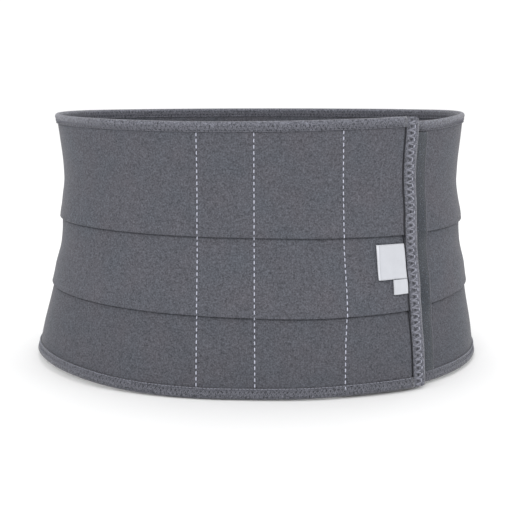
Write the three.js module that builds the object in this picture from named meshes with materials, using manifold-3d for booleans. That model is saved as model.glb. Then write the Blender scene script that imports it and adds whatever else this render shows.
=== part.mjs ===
// Abdominal binder: three shingled bands of wide elastic, bound with tape all round,
// closed by a hook and loop lap at the front right and standing on its hem.
// Millimetres, +Z up, +X to the wearer's left as the front is seen, the front towards -Y.
import * as THREE from "three";
import Module from "manifold-3d";

const wasm = await Module();
wasm.setup();

// Driving dimensions
const HEIGHT = 229; // from the hem to the top rim at the sides
const HEM_WIDTH = 423.2; // inside the belt at the hem, from side to side
const HEM_DEPTH = 292; // inside the belt at the hem, from front to back
const OUTLINE_POWER = 2.12; // 2 is an ellipse, more is squarer
const TOP_PANEL_SHOWN = 96.6; // from the rim to the lower edge of the top band
const MIDDLE_PANEL_SHOWN = 61.8; // from there to the lower edge of the middle band
const PANEL_LAP = 15; // how far a band runs on behind the one above it
const PANEL_RAMP = 14; // height over which a band bends out over the next one
const ELASTIC = 1.8; // thickness of a band
const TAPE = 1.0; // thickness of the binding tape
const RIM_TAPE = 8.6; // how far the tape reaches down from the rim
const HEM_TAPE = 10; // how far it reaches up from the hem
const END_TAPE = 12.8; // how far it reaches in from an end
const CORNER_RADIUS = 6; // of the belt's four corners
const END_TO_SIDE_AT_RIM = 83.8; // from the outer end to the hem's right side, at the rim
const END_TO_SIDE_AT_HEM = 70.5; // and at the hem
const CLOSURE_LAP = 66; // length by which the outer end runs over the under end
const SWING = 70; // length over which the outer layer swings out for that
const SINK = 4; // how far the under end is pressed in
const LOOP_SHOWN = 17; // how far the loop strip goes on past the outer end
const LOOP_PILE = 1.0; // its thickness, where the bands below it are doubled
const HOOK_WIDTH = 45;
const HOOK_THICKNESS = 1.0;
const LABEL_WIDTH = 24;
const LABEL_HEIGHT = 29;
const LABEL_DROP = 6; // below the lower edge of the top band
const TAG_WIDTH = 11.5;
const TAG_HEIGHT = 12;
const LABEL_THICKNESS = 0.8;
const CLEARANCE = 0.4; // between pieces that lie on each other
const CLOSURE_GAP = 0.4; // between the hooks and the loops
const COLUMNS_ROUND = 60; // steps of the long pieces round the belt

// Worked out from them
const STEP = ELASTIC + CLEARANCE; // how far a band stands out over the next one
const DOUBLED = ELASTIC + STEP; // thickness of two bands on each other
const LEG = CLEARANCE + TAPE; // what a binding adds on each side
const LIFT = DOUBLED + CLEARANCE + LOOP_PILE + CLOSURE_GAP + HOOK_THICKNESS + CLEARANCE;
const HOLD = END_TAPE + CLEARANCE; // from an end to the pieces that stop beside its tape
const MIDDLE = HEIGHT / 2;
const EDGE_MARGIN = 0.2; // degrees from a piece's edge to its next column

// The inside of the belt, level by level.
// level is a share of HEIGHT, width and shift of HEM_WIDTH, depth of HEM_DEPTH.
const SECTIONS = [
  { level: 0.0, width: 1.0, depth: 1.0, shift: 0.0 },
  { level: 0.131, width: 0.972, depth: 0.978, shift: 0.003 },
  { level: 0.262, width: 0.937, depth: 0.928, shift: 0.006 },
  { level: 0.393, width: 0.907, depth: 0.882, shift: 0.009 },
  { level: 0.524, width: 0.885, depth: 0.847, shift: 0.01 },
  { level: 0.6, width: 0.8795, depth: 0.841, shift: 0.01 },
  { level: 0.655, width: 0.868, depth: 0.831, shift: 0.0095 },
  { level: 0.786, width: 0.866, depth: 0.833, shift: 0.0097 },
  { level: 0.895, width: 0.872, depth: 0.854, shift: 0.0095 },
  { level: 1.0, width: 0.878, depth: 0.875, shift: 0.0085 },
];

// How far the rim and the hem rise on their way round, as shares of HEIGHT.
// wrap is in degrees from the right side, over the back and the left side to the front.
const EDGES = [
  { wrap: -80, rim: -0.0155, hem: 0.0 },
  { wrap: -45, rim: -0.0135, hem: 0.0 },
  { wrap: -35, rim: -0.0095, hem: 0.0 },
  { wrap: -24, rim: -0.003, hem: 0.0 },
  { wrap: 0, rim: 0.0, hem: 0.0 },
  { wrap: 180, rim: 0.0, hem: 0.0 },
  { wrap: 225, rim: -0.003, hem: 0.0 },
  { wrap: 255, rim: -0.0065, hem: 0.0 },
  { wrap: 270, rim: -0.0055, hem: 0.001 },
  { wrap: 288, rim: 0.0, hem: 0.005 },
  { wrap: 297, rim: 0.003, hem: 0.007 },
  { wrap: 307, rim: 0.0065, hem: 0.008 },
  { wrap: 320, rim: 0.0075, hem: 0.0085 },
];

// The lower edges of the top and middle bands: tilt falls and curl rises again
// towards the right side, dip sags at the front, each as a share of HEIGHT.
const UPPER_SEAM = { level: HEIGHT - TOP_PANEL_SHOWN, tilt: 0.014, curl: 0.008, dip: 0.0026 };
const LOWER_SEAM = {
  level: UPPER_SEAM.level - MIDDLE_PANEL_SHOWN, tilt: 0.022, curl: 0.0183, dip: 0.0205,
};

const COLOURS = {
  elastic: 0x62646c,
  tape: 0x6e7078,
  pile: 0x555a61,
  hooks: 0x4c4f55,
  label: 0xe6e7ec,
};

const sections = new THREE.CubicInterpolant(
  SECTIONS.map((row) => row.level * HEIGHT),
  SECTIONS.flatMap((row) => [
    (row.width * HEM_WIDTH) / 2, (row.depth * HEM_DEPTH) / 2, row.shift * HEM_WIDTH,
  ]),
  3,
);
const edges = new THREE.LinearInterpolant(
  EDGES.map((row) => row.wrap),
  EDGES.flatMap((row) => [row.rim * HEIGHT, row.hem * HEIGHT]),
  2,
);

const { clamp, degToRad, lerp, smoothstep } = THREE.MathUtils;
const signedPower = (value, power) => Math.sign(value) * Math.abs(value) ** power;

// A point of the belt's outline, in degrees round it, moved outwards by an offset
function outline(degrees, z, offset) {
  const [halfWidth, halfDepth, shift] = sections.evaluate(z);
  const across = signedPower(Math.cos(degToRad(degrees)), 2 / OUTLINE_POWER);
  const along = signedPower(Math.sin(degToRad(degrees)), 2 / OUTLINE_POWER);
  const outwards = new THREE.Vector2(
    signedPower(across, OUTLINE_POWER - 1) / halfWidth,
    signedPower(along, OUTLINE_POWER - 1) / halfDepth,
  ).setLength(offset);
  return new THREE.Vector3(
    shift + halfWidth * across + outwards.x, halfDepth * along + outwards.y, z,
  );
}

// The angle that lies a distance further round the belt
function further(degrees, z, distance) {
  const perDegree = outline(degrees + 0.5, z, 0).distanceTo(outline(degrees - 0.5, z, 0));
  return degrees + distance / perDegree;
}

// The outer end is a straight line down the front, and the under end lies behind it
function outerEnd(z) {
  const [halfWidth, , shift] = sections.evaluate(z);
  const x = HEM_WIDTH / 2 - lerp(END_TO_SIDE_AT_HEM, END_TO_SIDE_AT_RIM, z / HEIGHT) - shift;
  const cosine = clamp(x / halfWidth, 0, 1) ** (OUTLINE_POWER / 2);
  return 360 - THREE.MathUtils.radToDeg(Math.acos(cosine));
}
const UNDER_END = further(outerEnd(MIDDLE) - 360, MIDDLE, -CLOSURE_LAP);

// Places round the belt: each gives its angle at a height
const fromUnderEnd = (distance) => (z) => further(UNDER_END, z, distance);
const fromOuterEnd = (distance) => (z) => further(outerEnd(z), z, -distance);
const between = (first, last, share) => (z) => lerp(first(z), last(z), share);

// How far a layer lies out from the belt's inside. The under end is pressed in, the outer
// layer swings out over it, and where both lie there is always LIFT between them.
function lift(wrap) {
  const lapStart = UNDER_END + 360;
  const isOuter = wrap > 180;
  const angle = isOuter ? wrap - 360 : wrap;
  const sunk = SINK * (1 - smoothstep(angle, UNDER_END, outerEnd(MIDDLE) - 360));
  const swung = smoothstep(
    wrap, further(lapStart, MIDDLE, -SWING), further(lapStart, MIDDLE, -LEG));
  return isOuter ? swung * (LIFT - sunk) : -sunk;
}

// What the belt does at one such place. fromEnd is how far the belt's end is away.
function column(place, fromEnd = CORNER_RADIUS) {
  const wrap = place(MIDDLE);
  const across = signedPower(Math.cos(degToRad(wrap)), 2 / OUTLINE_POWER);
  const front = Math.max(0, signedPower(-Math.sin(degToRad(wrap)), 2 / OUTLINE_POWER));
  const seamHeight = ({ level, tilt, curl, dip }) =>
    level + HEIGHT * (curl * across ** 3 - tilt * across - dip * front ** 2);
  const [rimRise, hem] = edges.evaluate(wrap);
  return {
    place,
    fromEnd,
    hem,
    rim: HEIGHT + rimRise,
    upper: seamHeight(UPPER_SEAM),
    lower: seamHeight(LOWER_SEAM),
    lift: lift(wrap),
  };
}

// How much the rounded corner takes off the top and bottom, inset from the tape's outside
function cornerDrop({ fromEnd }, inset) {
  const radius = CORNER_RADIUS - inset;
  return radius - Math.sqrt(radius ** 2 - clamp(CORNER_RADIUS - fromEnd, 0, radius) ** 2);
}

// Columns from one end's tape to the other, and with the rounded corners as well
const roundTheBelt = Array.from({ length: COLUMNS_ROUND + 1 }, (_, i) =>
  column(between(fromUnderEnd(HOLD), fromOuterEnd(HOLD), i / COLUMNS_ROUND)));
function cornerColumns(from, inset) {
  const shares = [0, 0.2, 0.55, 1];
  return shares.map((share) => {
    const distance = lerp(inset, CORNER_RADIUS, share);
    return column(from(distance), distance);
  });
}
const wholeBelt = [
  ...cornerColumns(fromUnderEnd, LEG),
  ...roundTheBelt,
  ...cornerColumns(fromOuterEnd, LEG).reverse(),
];

// A piece on the bands bends where they bend, so it has their columns between its two edges
function columnsBetween(first, last) {
  const within = ({ place }) =>
    place(MIDDLE) > first(MIDDLE) + EDGE_MARGIN && place(MIDDLE) < last(MIDDLE) - EDGE_MARGIN;
  return [column(first), ...roundTheBelt.filter(within), column(last)];
}

// Share by which a band lies out over the next one, and below its edge what lies over both
function raised(z, seam) {
  if (z < seam) return clamp(1 - (seam - z) / (PANEL_RAMP / 2), 0, 1);
  return clamp(1 - (z - seam - PANEL_LAP) / PANEL_RAMP, 0, 1);
}
const bandFace = {
  top: ({ upper }, z) => STEP * raised(z, upper),
  middle: ({ lower }, z) => STEP * raised(z, lower),
  lower: () => 0,
};
const overBands = ({ upper, lower }, z) =>
  ELASTIC + STEP * Math.max(raised(z, upper), raised(z, lower));

// Heights from mark to mark, each stretch cut into its number of steps
function ladder(marks, steps) {
  const heights = steps.flatMap((count, i) =>
    Array.from({ length: count }, (_, j) => lerp(marks[i], marks[i + 1], j / count)));
  return [...heights, marks.at(-1)];
}
const bandMarks = (seam) => [seam, seam + PANEL_LAP, seam + PANEL_LAP + PANEL_RAMP];
const fullLadder = ({ upper, lower }, bottom, top) => ladder(
  [bottom, lower - PANEL_RAMP / 2, ...bandMarks(lower),
    upper - PANEL_RAMP / 2, ...bandMarks(upper), top],
  [4, 1, 2, 1, 2, 1, 2, 1, 4],
);

// A sheet with thickness: face(column, row, side) gives the points of side 1, away from
// the body, and side 0; columns run round the belt and rows upwards on the outside
function sheet(columns, rowCount, face) {
  const points = [];
  const triangles = [];
  const wide = columns.length;
  const index = (i, j, side) => (side * rowCount + j) * wide + i;
  for (const side of [0, 1]) {
    for (let j = 0; j < rowCount; j += 1) {
      columns.forEach((place) => points.push(...face(place, j, side).toArray()));
    }
  }
  const quad = (a, b, c, d) => triangles.push(a, b, c, a, c, d);
  for (let i = 0; i < wide - 1; i += 1) {
    for (let j = 0; j < rowCount - 1; j += 1) {
      quad(index(i, j, 1), index(i + 1, j, 1), index(i + 1, j + 1, 1), index(i, j + 1, 1));
      quad(index(i, j, 0), index(i, j + 1, 0), index(i + 1, j + 1, 0), index(i + 1, j, 0));
    }
    const top = rowCount - 1;
    quad(index(i, 0, 0), index(i + 1, 0, 0), index(i + 1, 0, 1), index(i, 0, 1));
    quad(index(i, top, 1), index(i + 1, top, 1), index(i + 1, top, 0), index(i, top, 0));
  }
  const last = wide - 1;
  for (let j = 0; j < rowCount - 1; j += 1) {
    quad(index(0, j, 0), index(0, j, 1), index(0, j + 1, 1), index(0, j + 1, 0));
    quad(index(last, j, 1), index(last, j, 0), index(last, j + 1, 0), index(last, j + 1, 1));
  }
  const geometry = new THREE.BufferGeometry();
  geometry.setAttribute("position", new THREE.Float32BufferAttribute(points, 3));
  geometry.setIndex(triangles);
  return geometry;
}

// A flat sheet on the belt: heights(column) gives its rows, inner and outer its two faces
function flatSheet(columns, heights, inner, outer) {
  const rows = new Map(columns.map((place) => [place, heights(place)]));
  return sheet(columns, rows.get(columns[0]).length, (place, j, side) => {
    const z = rows.get(place)[j];
    const offset = side ? outer(place, z) : inner(place, z);
    return outline(place.place(z), z, place.lift + offset);
  });
}

const bandSheet = (face, heights) => flatSheet(
  wholeBelt, heights, face, (place, z) => face(place, z) + ELASTIC,
);
const panels = {
  top: () => bandSheet(bandFace.top, (place) => ladder(
    [...bandMarks(place.upper), place.rim - LEG - cornerDrop(place, LEG)], [2, 1, 3])),
  middle: () => bandSheet(bandFace.middle, ({ upper, lower }) => ladder(
    [...bandMarks(lower), upper, upper + PANEL_LAP], [2, 1, 2, 2])),
  lower: () => bandSheet(bandFace.lower, (place) => ladder(
    [place.hem + LEG + cornerDrop(place, LEG), place.lower, place.lower + PANEL_LAP],
    [4, 2])),
};

// Tape folded over the rim or the hem: edge gives its height, inwards the way to the bands
function foldedTape(edge, inwards, length) {
  const outside = ELASTIC + LEG;
  const inside = -LEG;
  const chamfer = TAPE - CLEARANCE;
  const fold = [
    { out: outside, up: length, in: outside - TAPE, inUp: length },
    { out: outside, up: chamfer, in: outside - TAPE, inUp: TAPE + CLEARANCE },
    { out: outside - chamfer, up: 0, in: outside - TAPE - CLEARANCE, inUp: TAPE },
    { out: inside + chamfer, up: 0, in: inside + TAPE + CLEARANCE, inUp: TAPE },
    { out: inside, up: chamfer, in: inside + TAPE, inUp: TAPE + CLEARANCE },
    { out: inside, up: length, in: inside + TAPE, inUp: length },
  ];
  const path = inwards > 0 ? fold.toReversed() : fold;
  return sheet(roundTheBelt, path.length, (place, j, side) => {
    const row = path[j];
    const z = edge(place) + inwards * (side ? row.up : row.inUp);
    return outline(place.place(z), z, place.lift + (side ? row.out : row.in));
  });
}

// Solids are only joined and cut here; sheets above have shared vertices already
function toSolid(geometry) {
  return new wasm.Manifold(new wasm.Mesh({
    numProp: 3,
    vertProperties: new Float32Array(geometry.getAttribute("position").array),
    triVerts: new Uint32Array(geometry.getIndex().array),
  }));
}
function fromSolid(solid) {
  const mesh = solid.getMesh();
  const geometry = new THREE.BufferGeometry();
  geometry.setAttribute("position", new THREE.Float32BufferAttribute(mesh.vertProperties, 3));
  geometry.setIndex(Array.from(mesh.triVerts));
  return geometry;
}

// Tape folded over an end of the belt and round both its corners, open towards the belt
function endTape(from, turned) {
  const slab = (inset, reach) => {
    const corner = cornerColumns(from, inset);
    const columns = [...corner, column(from(reach))];
    return flatSheet(
      turned ? columns.reverse() : columns,
      (place) => fullLadder(
        place,
        place.hem + inset + cornerDrop(place, inset),
        place.rim - inset - cornerDrop(place, inset)),
      () => inset - LEG,
      (place, z) => overBands(place, z) + LEG - inset,
    );
  };
  return fromSolid(toSolid(slab(0, END_TAPE)).subtract(toSolid(slab(TAPE, END_TAPE + TAPE))));
}

const stripHeights = (place) => fullLadder(
  place, place.hem + HEM_TAPE + CLEARANCE, place.rim - RIM_TAPE - CLEARANCE);

// The loop strip fills up what the stepped bands leave, and thins out towards its shown edge
function loopStrip() {
  const outerEndAbove = (z) => outerEnd(z) - 360;
  const shownEdge = (z) => further(outerEndAbove(z), z, LOOP_SHOWN);
  const inner = (place, z) => overBands(place, z) + CLEARANCE;
  const outer = (place, z) => {
    const shown = place.place(MIDDLE) - outerEndAbove(MIDDLE);
    const thinned = clamp(shown / (shownEdge(MIDDLE) - outerEndAbove(MIDDLE)), 0, 1);
    return lerp(DOUBLED + CLEARANCE + LOOP_PILE, inner(place, z) + LOOP_PILE, thinned);
  };
  return flatSheet(columnsBetween(fromUnderEnd(HOLD), shownEdge), stripHeights, inner, outer);
}

function hookStrip() {
  return flatSheet(
    columnsBetween(fromOuterEnd(HOLD + HOOK_WIDTH), fromOuterEnd(HOLD)),
    stripHeights, () => -CLEARANCE - HOOK_THICKNESS, () => -CLEARANCE,
  );
}

// A label beside the end tape, on the middle band
function labelSheet(width, top, height) {
  const columns = columnsBetween(fromOuterEnd(HOLD + width), fromOuterEnd(HOLD));
  const inner = (place, z) => bandFace.middle(place, z) + ELASTIC + CLEARANCE;
  const heights = ({ upper }) => ladder([upper - top - height, upper - top], [3]);
  return flatSheet(columns, heights, inner, (place, z) => inner(place, z) + LABEL_THICKNESS);
}

function piece(name, geometry, colour, roughness) {
  geometry.computeVertexNormals();
  const material = new THREE.MeshStandardMaterial({ color: colour, roughness, metalness: 0 });
  const mesh = new THREE.Mesh(geometry, material);
  mesh.name = name;
  return mesh;
}

const binder = new THREE.Group();
binder.add(
  piece("top_panel", panels.top(), COLOURS.elastic, 0.9),
  piece("middle_panel", panels.middle(), COLOURS.elastic, 0.9),
  piece("lower_panel", panels.lower(), COLOURS.elastic, 0.9),
  piece("top_binding", foldedTape(({ rim }) => rim, -1, RIM_TAPE), COLOURS.tape, 0.85),
  piece("hem_binding", foldedTape(({ hem }) => hem, 1, HEM_TAPE), COLOURS.tape, 0.85),
  piece("outer_end_binding", endTape(fromOuterEnd, true), COLOURS.tape, 0.85),
  piece("inner_end_binding", endTape(fromUnderEnd, false), COLOURS.tape, 0.85),
  piece("loop_strip", loopStrip(), COLOURS.pile, 0.95),
  piece("hook_strip", hookStrip(), COLOURS.hooks, 0.7),
  piece("side_label", labelSheet(LABEL_WIDTH, LABEL_DROP, LABEL_HEIGHT), COLOURS.label, 0.7),
  piece(
    "size_tag",
    labelSheet(TAG_WIDTH, LABEL_DROP + LABEL_HEIGHT + CLEARANCE, TAG_HEIGHT),
    COLOURS.label, 0.7,
  ),
);

// The middle of the base is the origin
const middle = new THREE.Box3().setFromObject(binder).getCenter(new THREE.Vector3());
binder.position.set(-middle.x, -middle.y, 0);
binder.updateMatrixWorld(true);

export default binder;
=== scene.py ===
# %% [markdown]
# # Dressing an abdominal binder
# The real object is one long belt of wide grey elastic. Three bands of it are laid like roof
# shingles, tape is folded over the rim, the hem and both ends, and the belt is wrapped once round
# and closed with hooks and loops at the right of the front.
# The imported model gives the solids. Here each cloth solid is replaced by a finer sheet of the same
# shape, with rounded edges, sewn threads and a woven look.

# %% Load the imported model
import math

import bpy
import numpy as np
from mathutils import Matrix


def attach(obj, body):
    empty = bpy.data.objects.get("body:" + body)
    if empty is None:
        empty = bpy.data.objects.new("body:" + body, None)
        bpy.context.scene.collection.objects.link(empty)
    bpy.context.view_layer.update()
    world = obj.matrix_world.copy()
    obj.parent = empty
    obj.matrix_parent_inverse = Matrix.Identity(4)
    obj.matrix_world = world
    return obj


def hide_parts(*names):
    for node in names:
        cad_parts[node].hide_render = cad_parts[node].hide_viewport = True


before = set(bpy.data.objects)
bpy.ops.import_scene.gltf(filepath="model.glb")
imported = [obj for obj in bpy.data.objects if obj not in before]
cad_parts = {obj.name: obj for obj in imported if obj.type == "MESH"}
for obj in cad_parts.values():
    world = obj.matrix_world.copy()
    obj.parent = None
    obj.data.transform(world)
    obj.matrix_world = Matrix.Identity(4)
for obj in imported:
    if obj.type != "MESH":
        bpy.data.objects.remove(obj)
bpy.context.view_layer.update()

MM = 0.001
bpy.ops.object.select_all(action="DESELECT")
print("Nodes:", ", ".join(sorted(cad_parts)))

# %% [markdown]
# ## The camera
# The picture looks at the front from a little above the rim, so that the inside of the back shows
# as a dark strip. A camera 0.78 m away, tipped 12 degrees down, gives the same rim and hem curves.

# %% Place the camera
CAMERA_PLACE = (0.55 * MM, -779.55 * MM, 260.95 * MM)
CAMERA_DIP = 0.216  # radians below the horizon
CAMERA_LENS = 57.17

bpy.ops.object.camera_add(location=CAMERA_PLACE, rotation=(math.pi / 2 - CAMERA_DIP, 0, 0))
camera = bpy.context.object
camera.name = "front_camera"
camera.data.lens = CAMERA_LENS
bpy.context.scene.camera = camera
print("Camera dip in degrees:", round(math.degrees(CAMERA_DIP), 1))

# %% [markdown]
# ## The light
# Product pictures of cloth are lit softly from all round. A bright even surround does most of it,
# and three soft boxes, in front, at the right and on top, give the cloth its shape.

# %% Light the studio
WHITE = (1.0, 1.0, 1.0, 1.0)
SURROUND_STRENGTH = 1.12
SOFT_BOXES = [
    # name, place in metres, size in metres, watts
    ("soft_box_front", (-0.7, -1.7, 1.5), 1.2, 8.0),
    ("soft_box_right", (1.9, -0.6, 1.0), 0.8, 4.5),
    ("soft_box_top", (0.0, 0.4, 2.2), 1.2, 9.0),
]
LIGHT_AIM = (0.0, 0.0, 0.1)

world = bpy.data.worlds.new("studio_surround")
bpy.context.scene.world = world
world.use_nodes = True
world.node_tree.nodes["Background"].inputs["Color"].default_value = WHITE
world.node_tree.nodes["Background"].inputs["Strength"].default_value = SURROUND_STRENGTH
bpy.context.scene.view_settings.view_transform = "Standard"

for name, place, size, watts in SOFT_BOXES:
    aim = np.array(LIGHT_AIM) - np.array(place)
    turn = (math.acos(-aim[2] / np.linalg.norm(aim)), 0, math.atan2(-aim[0], aim[1]))
    bpy.ops.object.light_add(type="AREA", location=place, rotation=turn)
    lamp = bpy.context.object
    lamp.name = name
    lamp.data.size = size
    lamp.data.energy = watts
print("Soft boxes:", len(SOFT_BOXES))

# %% [markdown]
# ## The floor
# The binder stands on a white floor that reaches far behind it, so no horizon shows.

# %% Lay the floor
FLOOR_RADIUS = 40.0
FLOOR_SIDES = 128
FLOOR_DROP = 0.3 * MM  # keeps the floor just clear of the hem

bpy.ops.mesh.primitive_circle_add(
    vertices=FLOOR_SIDES, radius=FLOOR_RADIUS, fill_type="TRIFAN", location=(0, 0, -FLOOR_DROP))
floor = bpy.context.object
floor.name = "studio_floor"
print("Floor radius in metres:", FLOOR_RADIUS)

# %% [markdown]
# ## The shape of the belt
# Seen from above the belt is a squarish oval, wide at the hem, narrow at the waist and a little
# wider again at the rim. Short tables give that oval at a few heights and smooth curves join them.
# Every sheet and every stitch is then placed by three numbers: how far along the belt, how high,
# and how far out from its inside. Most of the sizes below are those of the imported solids.

# %% Sizes of the belt
HEIGHT = 229 * MM
HEM_WIDTH = 423.2 * MM
HEM_DEPTH = 292 * MM
OUTLINE_POWER = 2.12  # 2 is a plain oval, more is squarer
TOP_PANEL_SHOWN = 96.6 * MM
MIDDLE_PANEL_SHOWN = 61.8 * MM
PANEL_LAP = 15 * MM
PANEL_RAMP = 24 * MM  # above the lap, where a band leans back to the body
ELASTIC = 1.8 * MM
TAPE = 1.0 * MM
RIM_TAPE = 8.6 * MM
HEM_TAPE = 10 * MM
END_TAPE = 12.8 * MM
CORNER_RADIUS = 6 * MM
END_TO_SIDE_AT_RIM = 83.8 * MM  # from the hem's right side to the outer end
END_TO_SIDE_AT_HEM = 70.5 * MM
CLOSURE_LAP = 66 * MM
SWING = 70 * MM  # along the belt, where the outer layer swings out before the lap
SINK = 4 * MM  # how far the under end is pressed in
LOOP_SHOWN = 17 * MM
LOOP_PILE = 1.0 * MM
HOOK_WIDTH = 45 * MM
HOOK_THICKNESS = 1.0 * MM
CLEARANCE = 0.4 * MM
CLOSURE_GAP = 0.4 * MM
BELT_MIDDLE = (-0.07 * MM, 0.45 * MM)  # moves the oval so that the whole binder is centred

STEP = ELASTIC + CLEARANCE
DOUBLED = ELASTIC + STEP
LEG = CLEARANCE + TAPE  # a tape's leg and the gap under it
LIFT = DOUBLED + CLEARANCE + LOOP_PILE + CLOSURE_GAP + HOOK_THICKNESS + CLEARANCE
HOLD = END_TAPE + CLEARANCE  # how much of each end its tape takes up
MIDDLE = HEIGHT / 2
SIDE_BULGE = 1.1 * MM  # the right side stands out a little more than the plain oval
SIDE_BULGE_SHARE = 0.19
SIDE_BULGE_SPREAD = 0.075
RIM_FLARE = 0.8 * MM
RIM_FLARE_HEIGHT = 45 * MM
print("The outer layer stands out by", round(LIFT / MM, 1), "mm at the lap")

# %% The belt's tables
SECTIONS = np.array([
    # height as a share of HEIGHT, width and shift of HEM_WIDTH, depth of HEM_DEPTH
    (0.0, 1.0, 1.0, 0.0),
    (0.131, 0.972, 0.978, 0.003),
    (0.262, 0.937, 0.928, 0.006),
    (0.393, 0.907, 0.882, 0.009),
    (0.524, 0.885, 0.847, 0.01),
    (0.6, 0.8795, 0.841, 0.01),
    (0.655, 0.868, 0.831, 0.0095),
    (0.786, 0.866, 0.833, 0.0097),
    (0.895, 0.872, 0.854, 0.0095),
    (1.0, 0.878, 0.875, 0.0085),
]).T
EDGES = np.array([
    # degrees round the belt, then the rise of rim and hem as shares of HEIGHT
    (-80, -0.0155, 0.0),
    (-45, -0.0135, 0.006),
    (-35, -0.0095, 0.008),
    (-24, -0.0015, 0.009),
    (0, 0.0045, 0.006),
    (40, -0.001, 0.003),
    (70, -0.004, 0.0),
    (120, -0.0045, 0.002),
    (180, 0.001, 0.012),
    (204, -0.0013, 0.024),
    (215, -0.0031, 0.021),
    (225, -0.0045, 0.016),
    (239, -0.0067, 0.006),
    (255, -0.0085, 0.001),
    (270, -0.0075, 0.001),
    (288, -0.002, 0.005),
    (297, 0.001, 0.007),
    (307, 0.005, 0.008),
    (320, 0.0075, 0.0085),
]).T
END_SWAY = np.array([
    # height as a share of HEIGHT, then how far the outer end lies off its straight line, in mm
    (0.0, 0.8),
    (0.16, 1.2),
    (0.26, 0.5),
    (0.33, -0.5),
    (0.41, 0.1),
    (0.5, -0.2),
    (0.6, -1.4),
    (0.7, -0.4),
    (0.8, -0.4),
    (0.86, 0.0),
    (0.95, 1.2),
    (1.0, 1.4),
]).T
# The lower edges of the top and middle bands: all but the level are shares of HEIGHT
UPPER_SEAM = {
    "level": HEIGHT - TOP_PANEL_SHOWN,
    "tilt": 0.014, "curl": 0.008, "dip": 0.0022, "right": 0.0,
}
LOWER_SEAM = {
    "level": HEIGHT - TOP_PANEL_SHOWN - MIDDLE_PANEL_SHOWN,
    "tilt": 0.022, "curl": 0.0183, "dip": 0.0175, "right": 0.012,
}
OUTER_RISE = 0.0045  # of HEIGHT, how much the seams rise towards the outer end
OUTER_RISE_FROM = 0.8  # the share of the belt where that begins


def smooth_curve(marks, values, at):
    """A curve through the values of a table, with no kinks."""
    secants = np.diff(values) / np.diff(marks)
    slopes = np.concatenate(([secants[0]], (secants[1:] + secants[:-1]) / 2, [secants[-1]]))
    at = np.clip(at, marks[0], marks[-1])
    k = np.clip(np.searchsorted(marks, at) - 1, 0, len(marks) - 2)
    span = marks[k + 1] - marks[k]
    p = (at - marks[k]) / span
    from_start = (1 + 2 * p) * (1 - p) ** 2 * values[k] + p * (1 - p) ** 2 * span * slopes[k]
    from_end = p ** 2 * (3 - 2 * p) * values[k + 1] - p ** 2 * (1 - p) * span * slopes[k + 1]
    return from_start + from_end


def ease(value, start, end):
    """0 before start, 1 after end, and a soft ramp between."""
    p = np.clip((value - start) / (end - start), 0, 1)
    return p * p * (3 - 2 * p)


print("Hem", round(HEM_WIDTH / MM), "mm wide, waist",
      round(HEM_WIDTH * SECTIONS[1].min() / MM), "mm")

# %% Find a point on the belt


def signed_power(value, power):
    return np.sign(value) * np.abs(value) ** power


def section(z):
    """Half the oval's width, half its depth and its shift at a height."""
    width, depth, shift = (smooth_curve(SECTIONS[0], row, z / HEIGHT) for row in SECTIONS[1:])
    return width * HEM_WIDTH / 2, depth * HEM_DEPTH / 2, shift * HEM_WIDTH


def outline(angle, z, offset):
    """Points of the oval at angles in degrees, moved outwards by an offset."""
    half_width, half_depth, shift = section(z)
    across = signed_power(np.cos(np.radians(angle)), 2 / OUTLINE_POWER)
    along = signed_power(np.sin(np.radians(angle)), 2 / OUTLINE_POWER)
    out_x = signed_power(across, OUTLINE_POWER - 1) / half_width
    out_y = signed_power(along, OUTLINE_POWER - 1) / half_depth
    length = np.hypot(out_x, out_y)
    x = BELT_MIDDLE[0] + shift + half_width * across + offset * out_x / length
    y = BELT_MIDDLE[1] + half_depth * along + offset * out_y / length
    return np.stack(np.broadcast_arrays(x, y, z), axis=-1)


def further(angle, z, distance):
    """The angle that lies a distance further round the belt."""
    degree = outline(angle + 0.5, z, 0) - outline(angle - 0.5, z, 0)
    return angle + distance / np.linalg.norm(degree, axis=-1)


def outer_end(z):
    """The outer end runs down the front, leaning and swaying a little."""
    level = z / HEIGHT
    half_width, _, shift = section(z)
    to_side = END_TO_SIDE_AT_HEM + (END_TO_SIDE_AT_RIM - END_TO_SIDE_AT_HEM) * level
    to_side = to_side - smooth_curve(END_SWAY[0], END_SWAY[1], level) * MM
    cosine = ((HEM_WIDTH / 2 - to_side - shift) / half_width) ** (OUTLINE_POWER / 2)
    return 360 - np.degrees(np.arccos(cosine))


UNDER_END = float(further(outer_end(MIDDLE) - 360, MIDDLE, -CLOSURE_LAP))


def belt_ends(z):
    """The angles beside the two end tapes."""
    return further(UNDER_END, z, HOLD), further(outer_end(z), z, -HOLD)


def angle_at(share, z):
    """The angle at a share of the belt, from 0 beside the under end's tape to 1 at the outer's."""
    first, last = belt_ends(z)
    return first + share * (last - first)


def share_at(angle, z):
    first, last = belt_ends(z)
    return (angle - first) / (last - first)


def lift(wrap):
    """The under end is pressed in, and the outer layer swings out over it."""
    lap_start = UNDER_END + 360
    is_outer = wrap > 180
    angle = np.where(is_outer, wrap - 360, wrap)
    sunk = SINK * (1 - ease(angle, UNDER_END, outer_end(MIDDLE) - 360))
    start = further(lap_start, MIDDLE, -SWING)
    swung = ease(wrap, start, further(lap_start, MIDDLE, -LEG))
    return np.where(is_outer, swung * (LIFT - sunk), -sunk)


def bump(distance, spread):
    """A bell curve: 1 at no distance, almost 0 two spreads away."""
    return np.exp(-(distance / spread) ** 2)


def on_belt(share, z, offset):
    """The point at a share of the belt, a height and an offset from the belt's inside."""
    fuller = SIDE_BULGE * bump(share - SIDE_BULGE_SHARE, SIDE_BULGE_SPREAD)
    fuller = fuller + RIM_FLARE * ease(z, HEIGHT - RIM_FLARE_HEIGHT, HEIGHT)
    return outline(angle_at(share, z), z, lift(angle_at(share, MIDDLE)) + fuller + offset)


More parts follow.
